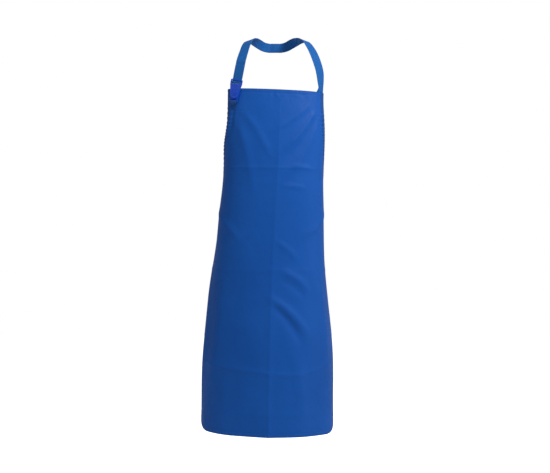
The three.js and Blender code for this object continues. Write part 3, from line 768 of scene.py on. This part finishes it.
def joined(name, pieces):
    bpy.ops.object.select_all(action="DESELECT")
    for piece in pieces:
        piece.select_set(True)
    bpy.context.view_layer.objects.active = pieces[0]
    bpy.ops.object.join()
    pieces[0].name = pieces[0].data.name = name
    keep_only(pieces[0])
    bpy.ops.object.shade_smooth_by_angle(angle=math.radians(40))
    return pieces[0]


# In millimetres in the buckle's plane.
FRAME_FACE, BUTTON_FACE = 9.7, 9.3  # w of the front faces of the sliding frame and of the button
BUTTON_V = -13  # of the button's middle
GRIPS = (-4.4, -2.2, 0, 2.2, 4.4)  # from the button's middle
GRIP_CIRCLE = 52  # square of the radius within which the button's grips lie
CROSS_RIBS = [(28.2, 26, 1.0), (29.8, 26, 1.0), (11.6, 24, 1.1)]  # v, length and width
SLANTED_RIB = (8.6, 3.4, (1.1, 19, 0.7), 32)  # u, v, size and turn in degrees; its mate is mirrored


def buckle(plane, word):
    """The base, its press button and the sliding frame, with the frame's ribs and the button's grip."""
    clip, button = f"{word}_clip", f"{word}_button"
    pieces = [
        moulded(f"{word}_base", f"{word}_buckle_base", 0.45 * MM, "apron"),
        moulded(f"{word}_button", f"{word}_buckle_button", 0.55 * MM, button),
        moulded(f"{word}_frame", f"{word}_buckle_frame", 0.55 * MM, clip),
    ]
    ribs = [bar_on_plane(plane, 0, v, FRAME_FACE, (length, width, 0.7)) for v, length, width in CROSS_RIBS]
    u, v, size, turn = SLANTED_RIB
    ribs += [bar_on_plane(plane, side * u, v, FRAME_FACE, size, side * turn) for side in (-1, 1)]
    pieces.append(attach(joined(f"{word}_frame_ribs", ribs), clip))
    grips = [
        bar_on_plane(plane, 0, BUTTON_V + step, BUTTON_FACE, (2 * math.sqrt(GRIP_CIRCLE - step**2), 1.1, 0.9))
        for step in GRIPS
    ]
    pieces.append(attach(joined(f"{word}_button_grip", grips), button))
    return pieces


plastic_pieces = buckle(neck, "neck") + buckle(waist, "waist")

# ---- Stitching ----

STITCH_PITCH = 3.2 * MM
STITCH_LENGTH = 2.5 * MM
THREAD = 0.42 * MM


def stitch_shape():
    """One stitch, lying along X with its top towards Z, as (corners, faces)."""
    bpy.ops.mesh.primitive_uv_sphere_add(segments=6, ring_count=4, radius=0.5)
    ball = bpy.context.object
    ball.data.transform(Matrix.Rotation(math.radians(90), 4, "Y"))
    corners = np.array([v.co for v in ball.data.vertices])
    faces = [tuple(polygon.vertices) for polygon in ball.data.polygons]
    bpy.data.objects.remove(ball)
    return corners * (STITCH_LENGTH, THREAD, THREAD * 0.8), faces


stitch_corners, stitch_faces = stitch_shape()


def sewn_line(line, place_and_way):
    """Stitch centres, their directions and the ways out along a line of (a, b) on a surface."""
    line = np.asarray(line, float)
    fine = np.concatenate(
        [np.linspace(a, b, max(2, int(np.hypot(*(b - a)) / (0.4 * MM)))) for a, b in zip(line, line[1:])]
    )
    places, ways = place_and_way(fine[:, 0], fine[:, 1])
    length = np.concatenate([[0], np.cumsum(np.linalg.norm(np.diff(places, axis=0), axis=1))])
    count = max(1, int(length[-1] / STITCH_PITCH))
    at = (np.arange(count) + 0.5) * length[-1] / count

    def sample(values, shift=0.0):
        return np.stack([np.interp(at + shift, length, values[:, k]) for k in range(3)], -1)

    along = unit(sample(places, THREAD) - sample(places, -THREAD))
    return sample(places), along, unit(sample(ways))


def stitching(name, lines, place_and_way):
    """One piece holding every stitch of these lines, on the apron."""
    corners, faces = [], []
    for line in lines:
        for centre, along, way in zip(*sewn_line(line, place_and_way)):
            side = unit(np.cross(way, along))
            basis = np.stack([along, side, np.cross(along, side)])
            base = len(corners) * len(stitch_corners)
            corners.append(centre + stitch_corners @ basis)
            faces += [tuple(base + k for k in face) for face in stitch_faces]
    mesh = bpy.data.meshes.new(name)
    mesh.from_pydata(np.concatenate(corners), [], faces)
    piece = bpy.data.objects.new(name, mesh)
    bpy.context.scene.collection.objects.link(piece)
    keep_only(piece)
    bpy.ops.object.shade_smooth()
    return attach(piece, "apron")


def cloth_surface(out):
    """Places and ways out at this height on the cloth; a height below nought faces the wearer."""

    def surface(s, drop):
        way = out_of_form(s, drop)
        return on_cloth(s, drop, out), way if out > 0 else -way

    return surface


def beside_edge(edge, inward_by):
    outline, inward = edge
    return outline + inward * inward_by


def cross_box(a0, a1, b0, b1):
    """A sewn rectangle and its two diagonals."""
    return [
        [(a0, b0), (a1, b0), (a1, b1), (a0, b1), (a0, b0)],
        [(a0, b0), (a1, b1)],
        [(a1, b0), (a0, b1)],
    ]


FRONT, BACK = 1.05 * MM, -0.78 * MM  # how far out stitches lie on the cloth and on the hem inside it
TAPE_FRONT, TAPE_BACK = 1.72 * MM, -0.55 * MM
LOOP_FRONT = 4.15 * MM
BOX = 0.025  # across the webbing, of a sewn box
BOX_INSET = 0.004
PATCH_INSET = 0.002

stitches = []
hem_lines = [beside_edge(top_edge(), TOP_HEM - HEM_INSET)[6:-6]]
hem_lines.append(beside_edge(skirt_edge(), SIDE_HEM - HEM_INSET))
for word, out in (("front", FRONT), ("back", BACK)):
    stitches.append(stitching(f"hem_stitching_{word}", hem_lines, cloth_surface(out)))
for word, side in (("right", -1), ("left", 1)):
    line = [beside_edge(armhole_edge(side), TAPE_WIDTH - TAPE_INSET)]
    stitches.append(stitching(f"tape_stitching_{word}", line, cloth_surface(TAPE_FRONT)))
    stitches.append(stitching(f"tape_stitching_inside_{word}", line, cloth_surface(TAPE_BACK)))
boxes = cross_box(NECK_END_S - BOX / 2, NECK_END_S + BOX / 2, TOP_HEM + 0.003, SEWN - 0.003)
for side in (-1, 1):
    start, end = side * (WAIST_PATCH_EDGE - SEWN + BOX_INSET), side * (WAIST_PATCH_EDGE - BOX_INSET)
    boxes += cross_box(start, end, WAIST_STRAP_DROP - BOX / 2, WAIST_STRAP_DROP + BOX / 2)
    outer = side * (BIB_PATCH_EDGE - PATCH_INSET)
    inner = side * (BIB_PATCH_EDGE - BIB_PATCH[0] + 0.003)
    low = TOP_HEM + BIB_PATCH[1] - 0.003
    boxes.append([(outer, low), (inner, low), (inner, TOP_HEM)])
stitches.append(stitching("strap_box_stitching", boxes, cloth_surface(FRONT)))
stitches.append(stitching("strap_box_stitching_inside", boxes, cloth_surface(STRAP_INSIDE - WEB / 2)))


def plane_surface(plane, w):
    """Places at (u, v) in a buckle's plane, in metres, at this w in millimetres."""

    def surface(u, v):
        places = np.array([plane.at(a / MM, b / MM, w) for a, b in zip(u, v)])
        return places, np.broadcast_to(np.array(plane.w), places.shape)

    return surface


waist_fold = cross_box(-12 * MM, 12 * MM, -67 * MM, -50 * MM)
stitches.append(stitching("waist_fold_stitching", waist_fold, plane_surface(waist, 4.5)))


def loop_stitching():
    """Two short rows that sew the ends of the neck buckle's loop to the bib."""
    s, drop = nearest_on_form(neck.at(0, LOOP_END + 4, 0))
    rows = [[(s - 0.008, level), (s + 0.008, level)] for level in (drop + 0.002, drop - 0.003)]
    return stitching("neck_loop_stitching", rows, cloth_surface(LOOP_FRONT))


stitches.append(loop_stitching())

# ---- Finishes ----


def shader_group(name, inputs, outputs):
    group = bpy.data.node_groups.new(name, "ShaderNodeTree")
    for socket, kind, value in inputs:
        made = group.interface.new_socket(name=socket, in_out="INPUT", socket_type=kind)
        if value is not None:
            made.default_value = value
    for socket, kind in outputs:
        group.interface.new_socket(name=socket, in_out="OUTPUT", socket_type=kind)
    return group, group.nodes.new("NodeGroupInput"), group.nodes.new("NodeGroupOutput")


def math_node(tree, operation, first, second=None):
    node = tree.nodes.new("ShaderNodeMath")
    node.operation = operation
    for socket, value in zip(node.inputs, (first, second)):
        if value is None:
            continue
        if isinstance(value, (int, float)):
            socket.default_value = value
        else:
            tree.links.new(value, socket)
    return node.outputs[0]


def woven_threads():
    """A plain weave over a flat cut in metres: Height is 0 to 1, and Gap falls to 0 between the threads."""
    counts = [(way, "NodeSocketFloat", 2200.0) for way in ("Across", "Along")]
    group, given, result = shader_group(
        "Woven threads",
        [("Cut", "NodeSocketVector", None), *counts],
        [("Height", "NodeSocketFloat"), ("Gap", "NodeSocketFloat")],
    )
    split = group.nodes.new("ShaderNodeSeparateXYZ")
    group.links.new(given.outputs["Cut"], split.inputs[0])
    u = math_node(group, "MULTIPLY", split.outputs["X"], given.outputs["Across"])
    v = math_node(group, "MULTIPLY", split.outputs["Y"], given.outputs["Along"])
    turn_u = math_node(group, "MULTIPLY", u, math.pi)
    turn_v = math_node(group, "MULTIPLY", v, math.pi)
    warp = math_node(group, "ABSOLUTE", math_node(group, "SINE", turn_u))
    weft = math_node(group, "ABSOLUTE", math_node(group, "SINE", turn_v))
    parity = math_node(group, "ADD", math_node(group, "FLOOR", u), math_node(group, "FLOOR", v))
    over = math_node(group, "PINGPONG", parity, 1.0)
    under = math_node(group, "SUBTRACT", 1.0, over)
    height = math_node(
        group, "ADD", math_node(group, "MULTIPLY", warp, over), math_node(group, "MULTIPLY", weft, under)
    )
    group.links.new(height, result.inputs["Height"])
    group.links.new(math_node(group, "MULTIPLY", warp, weft), result.inputs["Gap"])
    return group


def uneven_dye():
    """Two sizes of soft mottling, from 0 to 1 about a half."""
    scales = [("Broad", "NodeSocketFloat", 5.0), ("Fine", "NodeSocketFloat", 90.0)]
    group, given, result = shader_group(
        "Uneven dye",
        [("Place", "NodeSocketVector", None), *scales],
        [("Mottle", "NodeSocketFloat"), ("Fleck", "NodeSocketFloat")],
    )
    for output, scale, detail in (("Mottle", "Broad", 3.0), ("Fleck", "Fine", 4.0)):
        noise = group.nodes.new("ShaderNodeTexNoise")
        noise.inputs["Detail"].default_value = detail
        group.links.new(given.outputs["Place"], noise.inputs["Vector"])
        group.links.new(given.outputs[scale], noise.inputs["Scale"])
        group.links.new(noise.outputs["Fac"], result.inputs[output])
    return group


WEAVE, DYE = woven_threads(), uneven_dye()


def new_material(name):
    material = bpy.data.materials.new(name)
    material.use_nodes = True
    return material, material.node_tree, material.node_tree.nodes["Principled BSDF"]


def dye_over(tree, **scales):
    """The dye's mottling over Object coordinates: its node, and the coordinates."""
    place = tree.nodes.new("ShaderNodeTexCoord").outputs["Object"]
    dye = tree.nodes.new("ShaderNodeGroup")
    dye.node_tree = DYE
    for name, scale in scales.items():
        dye.inputs[name].default_value = scale
    tree.links.new(place, dye.inputs["Place"])
    return dye, place


def bumped(tree, height, distance, strength, below=None):
    """A normal raised by height, on top of the normal below it."""
    bump = tree.nodes.new("ShaderNodeBump")
    bump.inputs["Distance"].default_value = distance
    bump.inputs["Strength"].default_value = strength
    tree.links.new(height, bump.inputs["Height"])
    if below is not None:
        tree.links.new(below, bump.inputs["Normal"])
    return bump.outputs["Normal"]


def mixed(tree, factor, first, second):
    mix = tree.nodes.new("ShaderNodeMix")
    mix.data_type = "RGBA"
    if isinstance(factor, (int, float)):
        mix.inputs["Factor"].default_value = factor
    else:
        tree.links.new(factor, mix.inputs["Factor"])
    for socket, value in ((mix.inputs[6], first), (mix.inputs[7], second)):
        if isinstance(value, tuple):
            socket.default_value = (*value, 1.0)
        else:
            tree.links.new(value, socket)
    return mix.outputs[2]


def ranged(tree, value, low, high, start=0.3, end=0.7):
    spread = tree.nodes.new("ShaderNodeMapRange")
    spread.inputs["From Min"].default_value = start
    spread.inputs["From Max"].default_value = end
    spread.inputs["To Min"].default_value = low
    spread.inputs["To Max"].default_value = high
    tree.links.new(value, spread.inputs["Value"])
    return spread.outputs["Result"]


def woven_finish(name, deep, bright, threads, rough, weave, gap, sheen, specular, wrinkle=0.0):
    """Dyed woven cloth: threads is how many to the metre, (across, along), weave how deep it is, and gap how
    strong the painted shade between the threads is."""
    material, tree, surface = new_material(name)
    cut = tree.nodes.new("ShaderNodeUVMap")
    cut.uv_map = "Cut"
    cloth = tree.nodes.new("ShaderNodeGroup")
    cloth.node_tree = WEAVE
    cloth.inputs["Across"].default_value, cloth.inputs["Along"].default_value = threads
    tree.links.new(cut.outputs["UV"], cloth.inputs["Cut"])
    dye, place = dye_over(tree)
    dyed = mixed(tree, ranged(tree, dye.outputs["Mottle"], 0.0, 1.0), deep, bright)
    flecked = mixed(tree, ranged(tree, dye.outputs["Fleck"], 0.0, 0.22), dyed, deep)
    # Painted shade between the threads: where Gap falls to nought the colour goes towards a darker copy of the
    # deep dye.
    shade = ranged(tree, cloth.outputs["Gap"], gap, 0.0, 0.0, 0.7)
    shade_between_threads = tuple(channel * 0.55 for channel in deep)
    tree.links.new(mixed(tree, shade, flecked, shade_between_threads), surface.inputs["Base Color"])
    tree.links.new(ranged(tree, dye.outputs["Fleck"], *rough), surface.inputs["Roughness"])
    surface.inputs["Sheen Weight"].default_value = sheen
    surface.inputs["Sheen Roughness"].default_value = 0.4
    surface.inputs["Specular IOR Level"].default_value = specular
    crumpled = None
    if wrinkle:
        crumple = tree.nodes.new("ShaderNodeTexNoise")
        crumple.inputs["Scale"].default_value = 26.0
        crumple.inputs["Detail"].default_value = 3.0
        tree.links.new(place, crumple.inputs["Vector"])
        crumpled = bumped(tree, crumple.outputs["Fac"], wrinkle, 0.5)
    normal = bumped(tree, cloth.outputs["Height"], weave, 0.6, crumpled)
    tree.links.new(normal, surface.inputs["Normal"])
    return material


def moulded_plastic():
    material, tree, surface = new_material("Moulded blue plastic")
    dye, _ = dye_over(tree, Broad=60.0, Fine=900.0)
    streaks = ranged(tree, dye.outputs["Mottle"], 0.0, 1.0)
    colour = mixed(tree, streaks, (0.003, 0.058, 0.500), (0.006, 0.072, 0.580))
    tree.links.new(colour, surface.inputs["Base Color"])
    tree.links.new(ranged(tree, dye.outputs["Fleck"], 0.30, 0.42), surface.inputs["Roughness"])
    surface.inputs["Specular IOR Level"].default_value = 0.35
    tree.links.new(bumped(tree, dye.outputs["Fleck"], 0.04 * MM, 0.5), surface.inputs["Normal"])
    return material


def sewing_thread():
    material, tree, surface = new_material("Blue sewing thread")
    dye, _ = dye_over(tree, Fine=1800.0)
    flecks = ranged(tree, dye.outputs["Fleck"], 0.0, 1.0)
    colour = mixed(tree, flecks, (0.016, 0.090, 0.330), (0.030, 0.150, 0.470))
    tree.links.new(colour, surface.inputs["Base Color"])
    tree.links.new(ranged(tree, dye.outputs["Fleck"], 0.45, 0.65), surface.inputs["Roughness"])
    return material


coated_cloth = woven_finish(
    "Coated blue cloth", (0.0045, 0.086, 0.400), (0.0065, 0.101, 0.450), threads=(1900, 1900),
    rough=(0.46, 0.58), weave=0.05 * MM, gap=0.12, sheen=0.02, specular=0.16, wrinkle=2.6 * MM,
)
# The binding tape's colour; on the neck buckle's loop this darker blue is painted shade under the buckle.
binding_and_loop_shade = woven_finish(
    "Blue binding tape", (0.006, 0.068, 0.285), (0.008, 0.080, 0.325), threads=(1500, 1500),
    rough=(0.65, 0.78), weave=0.12 * MM, gap=0.3, sheen=0.05, specular=0.3,
)
strap_weave = woven_finish(
    "Bright blue webbing", (0.007, 0.112, 0.400), (0.010, 0.131, 0.450), threads=(760, 620),
    rough=(0.62, 0.78), weave=0.30 * MM, gap=0.45, sheen=0.03, specular=0.2,
)
label_weave = woven_finish(
    "White woven tag", (0.62, 0.62, 0.60), (0.74, 0.74, 0.72), threads=(2400, 2400),
    rough=(0.65, 0.80), weave=0.06 * MM, gap=0.2, sheen=0.1, specular=0.35,
)


def finish(pieces, material):
    for piece in pieces:
        piece.data.materials.clear()
        piece.data.materials.append(material)


finish([panel, bib_hem, skirt_hem], coated_cloth)
finish(patches, coated_cloth)
finish([tape_right, tape_left], binding_and_loop_shade)
finish(straps, strap_weave)
# Painted shade: the loop takes the darker binding colour for the shadow under the neck buckle.
finish([loop], binding_and_loop_shade)
finish([label], label_weave)
finish(plastic_pieces, moulded_plastic())
finish(stitches, sewing_thread())

# ---- What stands for what, and what moves with what ----

for piece in [panel, bib_hem, skirt_hem, tape_right, tape_left, label, *patches]:
    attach(piece, "apron")
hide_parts("apron_panel")
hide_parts("armhole_tape_right")
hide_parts("armhole_tape_left")
patch_nodes = ("bib_patch_right", "waist_patch_right", "bib_patch_left", "waist_patch_left")
for piece, node in zip(patches, patch_nodes):
    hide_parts(node)
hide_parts("care_label")

# ---- Stage ----

FRONT_PLANE = -0.205  # Y of the cloth's front
CAMERA_AWAY = 3.0
CAMERA_HEIGHT = -0.617
FLOOR_BELOW = 0.42  # the hem
STUDIO_GLOW = 0.27

bpy.ops.mesh.primitive_plane_add(size=14, location=(0, 0, cad_box[0][2] - FLOOR_BELOW))
floor = bpy.context.object
floor.name = "floor"
pale, pale_tree, pale_surface = new_material("Pale studio floor")
pale_surface.inputs["Base Color"].default_value = (0.95, 0.95, 0.955, 1)
pale_surface.inputs["Roughness"].default_value = 0.9
pale_surface.inputs["Emission Color"].default_value = (1, 1, 1, 1)
glow_seen = pale_tree.nodes.new("ShaderNodeLightPath")
pale_tree.links.new(glow_seen.outputs["Is Camera Ray"], pale_surface.inputs["Emission Strength"])
floor.data.materials.append(pale)
floor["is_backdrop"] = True


def soft_light(name, place, target, size, power):
    bpy.ops.object.light_add(type="AREA", location=place)
    light = bpy.context.object
    light.name = name
    light.data.shape = "RECTANGLE"
    light.data.size, light.data.size_y = size
    light.data.energy = power
    way = Vector(target) - Vector(place)
    light.rotation_euler = way.to_track_quat("-Z", "Y").to_euler()


soft_light("key", (1.05, -1.25, 0.92), (0.0, -0.1, -0.10), (0.9, 0.9), 35)
soft_light("side", (2.0, -0.5, -0.5), (0.1, -0.1, -0.6), (0.9, 1.6), 5)
soft_light("fill", (-2.0, -2.2, 1.2), (0.0, 0.0, -0.3), (1.8, 1.8), 9)
soft_light("back", (0.4, 2.6, 0.9), (0.0, 0.0, -0.4), (2.4, 1.6), 26)

world = bpy.data.worlds.new("studio")
bpy.context.scene.world = world
world.use_nodes = True
sky = world.node_tree
backdrop, white = sky.nodes["Background"], sky.nodes.new("ShaderNodeBackground")
for shade, strength in ((backdrop, STUDIO_GLOW), (white, 1.0)):
    shade.inputs["Color"].default_value = (1, 1, 1, 1)
    shade.inputs["Strength"].default_value = strength
seen = sky.nodes.new("ShaderNodeLightPath")
choose = sky.nodes.new("ShaderNodeMixShader")
sky.links.new(seen.outputs["Is Camera Ray"], choose.inputs["Fac"])
sky.links.new(backdrop.outputs["Background"], choose.inputs[1])
sky.links.new(white.outputs["Background"], choose.inputs[2])
sky.links.new(choose.outputs["Shader"], sky.nodes["World Output"].inputs["Surface"])

bpy.context.scene.view_settings.view_transform = "Standard"
bpy.context.scene.view_settings.look = "None"

bpy.ops.object.camera_add(location=(0.0, FRONT_PLANE - CAMERA_AWAY, CAMERA_HEIGHT))
camera = bpy.context.object
camera.rotation_euler = (math.radians(90), 0, 0)
camera.data.sensor_width = 36
camera.data.lens = 64
bpy.context.scene.camera = camera

boxes = {"cad": cad_box, "visual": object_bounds()}
